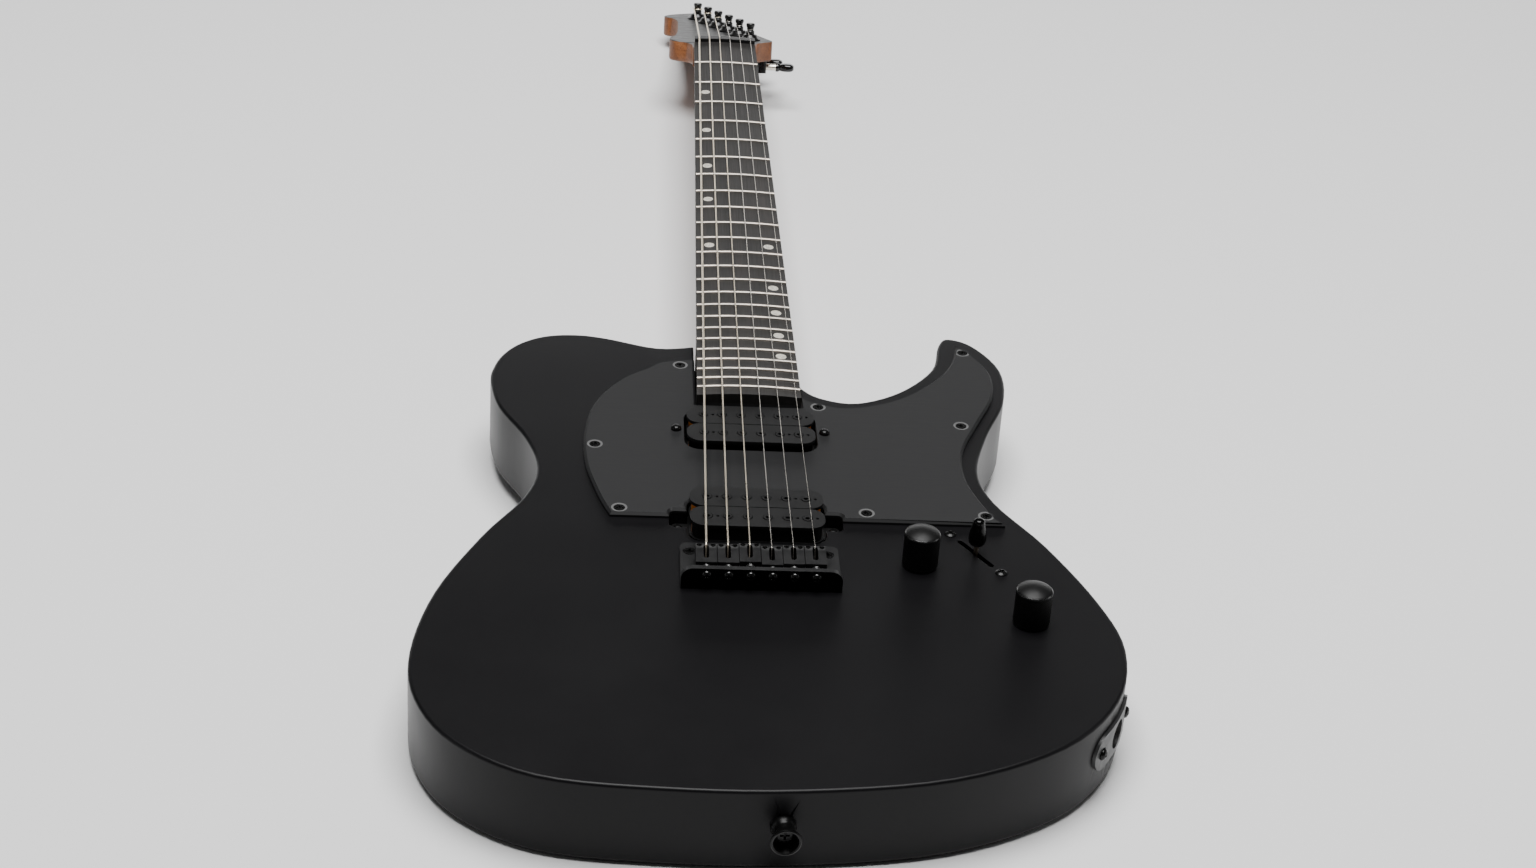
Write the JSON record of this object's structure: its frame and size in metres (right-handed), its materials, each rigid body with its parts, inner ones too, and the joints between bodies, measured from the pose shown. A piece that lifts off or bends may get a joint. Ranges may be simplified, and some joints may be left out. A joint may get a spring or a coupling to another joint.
{
  "type": "electric guitar",
  "caption": "Solid-body electric guitar with bolt-on neck, reversed in-line headstock, two humbucking pickups, pickguard, fixed bridge and working controls.",
  "frame": {"origin": "on the body's back face, on the strings' centre line, under the nominal saddle line", "axes": "+X towards the treble side, +Y along the neck towards the headstock, +Z out of the body's face towards the strings"},
  "size_m": [0.3424, 1.0373, 0.0846],
  "materials": {
    "body_finish": "satin black lacquer over ash",
    "black_plastic": "matte black",
    "gloss_black_plastic": "glossy black",
    "roasted_maple": "satin oiled, roasted",
    "ebony": "oiled, open grain",
    "nickel": "polished nickel silver",
    "black_hardware": "satin black powder coat",
    "black_screw": "black oxide",
    "steel": "drawn steel",
    "bronze_wound": "nickel-plated winding, warm",
    "copper_wire": "enamelled copper under clear tape",
    "magnet": "rough cast",
    "brass": "worn brass",
    "pearl_dot": "pearloid"
  },
  "bodies": {
    "guitar": {"body": "body_finish", "control_cover": "black_plastic", "cover_screws": "black_screw", "pickguard": "black_plastic", "neck": "roasted_maple", "fretboard": "ebony", "frets": "nickel", "nut": "gloss_black_plastic", "inlay_dots": "pearl_dot", "truss_rod": "steel", "neck_bolts": "black_screw", "neck_ferrules": "black_hardware", "bridge_plate": "black_hardware", "bridge_screws": "black_screw", "intonation_screws": "black_screw", "intonation_springs": "steel", "string_ferrules": "black_hardware", "wound_strings": "bronze_wound", "plain_strings": "steel", "tuner_housings": "black_hardware", "tuner_bushings": "black_hardware", "tuner_screws": "black_screw", "pickup_bobbins": "black_plastic", "pickup_baseplates": "steel", "pickup_coils": "copper_wire", "pickup_magnets": "magnet", "pickup_poles": "black_screw", "pickup_screws": "black_screw", "pots": "steel", "switch_body": "steel", "switch_screws": "black_screw", "jack_plate": "black_hardware", "output_jack": "nickel", "jack_plate_screws": "black_screw", "strap_buttons": "black_hardware", "strap_button_screws": "black_screw"},
    "saddle_1": {"saddle_1": "black_hardware"},
    "post_1": {"tuner_post_1": "black_hardware"},
    "button_1": {"tuner_button_1": "gloss_black_plastic"},
    "saddle_2": {"saddle_2": "black_hardware"},
    "post_2": {"tuner_post_2": "black_hardware"},
    "button_2": {"tuner_button_2": "gloss_black_plastic"},
    "saddle_3": {"saddle_3": "black_hardware"},
    "post_3": {"tuner_post_3": "black_hardware"},
    "button_3": {"tuner_button_3": "gloss_black_plastic"},
    "saddle_4": {"saddle_4": "black_hardware"},
    "post_4": {"tuner_post_4": "black_hardware"},
    "button_4": {"tuner_button_4": "gloss_black_plastic"},
    "saddle_5": {"saddle_5": "black_hardware"},
    "post_5": {"tuner_post_5": "black_hardware"},
    "button_5": {"tuner_button_5": "gloss_black_plastic"},
    "saddle_6": {"saddle_6": "black_hardware"},
    "post_6": {"tuner_post_6": "black_hardware"},
    "button_6": {"tuner_button_6": "gloss_black_plastic"},
    "volume_control": {"volume_knob": "black_hardware", "volume_shaft": "steel"},
    "tone_control": {"tone_knob": "black_hardware", "tone_shaft": "steel"},
    "selector": {"switch_lever": "brass", "switch_tip": "gloss_black_plastic"}
  },
  "joints": [
    {"name": "saddle_1_slide", "type": "slide", "parent": "guitar", "child": "saddle_1", "axis": [0, 1, 0], "range_m": [-0.0024, 0.004], "deforming": ["wound_strings", "intonation_springs"]},
    {"name": "saddle_2_slide", "type": "slide", "parent": "guitar", "child": "saddle_2", "axis": [0, 1, 0], "range_m": [-0.0024, 0.004], "deforming": ["wound_strings", "intonation_springs"]},
    {"name": "saddle_3_slide", "type": "slide", "parent": "guitar", "child": "saddle_3", "axis": [0, 1, 0], "range_m": [-0.0024, 0.004], "deforming": ["wound_strings", "intonation_springs"]},
    {"name": "saddle_4_slide", "type": "slide", "parent": "guitar", "child": "saddle_4", "axis": [0, 1, 0], "range_m": [-0.0024, 0.004], "deforming": ["plain_strings", "intonation_springs"]},
    {"name": "saddle_5_slide", "type": "slide", "parent": "guitar", "child": "saddle_5", "axis": [0, 1, 0], "range_m": [-0.0024, 0.004], "deforming": ["plain_strings", "intonation_springs"]},
    {"name": "saddle_6_slide", "type": "slide", "parent": "guitar", "child": "saddle_6", "axis": [0, 1, 0], "range_m": [-0.0024, 0.004], "deforming": ["plain_strings", "intonation_springs"]},
    {"name": "button_1_turn", "type": "hinge", "parent": "guitar", "child": "button_1", "pos_m": [-0.01374, 0.80371, -0.01353], "axis": [1, 0, 0], "continuous": true},
    {"name": "button_2_turn", "type": "hinge", "parent": "guitar", "child": "button_2", "pos_m": [-0.00685, 0.78275, -0.00791], "axis": [1, 0, 0], "continuous": true},
    {"name": "button_3_turn", "type": "hinge", "parent": "guitar", "child": "button_3", "pos_m": [0.00004, 0.76179, -0.0023], "axis": [1, 0, 0], "continuous": true},
    {"name": "button_4_turn", "type": "hinge", "parent": "guitar", "child": "button_4", "pos_m": [0.00693, 0.74083, 0.00332], "axis": [1, 0, 0], "continuous": true},
    {"name": "button_5_turn", "type": "hinge", "parent": "guitar", "child": "button_5", "pos_m": [0.01382, 0.71987, 0.00894], "axis": [1, 0, 0], "continuous": true},
    {"name": "button_6_turn", "type": "hinge", "parent": "guitar", "child": "button_6", "pos_m": [0.02071, 0.69891, 0.01455], "axis": [1, 0, 0], "continuous": true},
    {"name": "post_1_turn", "type": "hinge", "parent": "guitar", "child": "post_1", "pos_m": [-0.01374, 0.8086, 0.00473], "axis": [0, 0.2588, 0.9659], "continuous": true},
    {"name": "post_2_turn", "type": "hinge", "parent": "guitar", "child": "post_2", "pos_m": [-0.00685, 0.78764, 0.01034], "axis": [0, 0.2588, 0.9659], "continuous": true},
    {"name": "post_3_turn", "type": "hinge", "parent": "guitar", "child": "post_3", "pos_m": [0.00004, 0.76668, 0.01596], "axis": [0, 0.2588, 0.9659], "continuous": true},
    {"name": "post_4_turn", "type": "hinge", "parent": "guitar", "child": "post_4", "pos_m": [0.00693, 0.74572, 0.02158], "axis": [0, 0.2588, 0.9659], "continuous": true},
    {"name": "post_5_turn", "type": "hinge", "parent": "guitar", "child": "post_5", "pos_m": [0.01382, 0.72476, 0.02719], "axis": [0, 0.2588, 0.9659], "continuous": true},
    {"name": "post_6_turn", "type": "hinge", "parent": "guitar", "child": "post_6", "pos_m": [0.02071, 0.7038, 0.03281], "axis": [0, 0.2588, 0.9659], "continuous": true},
    {"name": "volume_turn", "type": "hinge", "parent": "guitar", "child": "volume_control", "pos_m": [0.0807, 0.0033, 0.05], "axis": [0, 0, 1], "range_deg": [0, 300]},
    {"name": "tone_turn", "type": "hinge", "parent": "guitar", "child": "tone_control", "pos_m": [0.1309, -0.0452, 0.05], "axis": [0, 0, 1], "range_deg": [0, 300]},
    {"name": "selector_tilt", "type": "hinge", "parent": "guitar", "child": "selector", "pos_m": [0.1102, 0.0152, 0.026], "axis": [0.8425, 0.5388, 0], "range_deg": [-20, 20]}
  ],
  "couplings": [
    {"joint": "post_1_turn", "follows": "button_1_turn", "ratio": 0.055556},
    {"joint": "post_2_turn", "follows": "button_2_turn", "ratio": 0.055556},
    {"joint": "post_3_turn", "follows": "button_3_turn", "ratio": 0.055556},
    {"joint": "post_4_turn", "follows": "button_4_turn", "ratio": 0.055556},
    {"joint": "post_5_turn", "follows": "button_5_turn", "ratio": 0.055556},
    {"joint": "post_6_turn", "follows": "button_6_turn", "ratio": 0.055556}
  ]
}
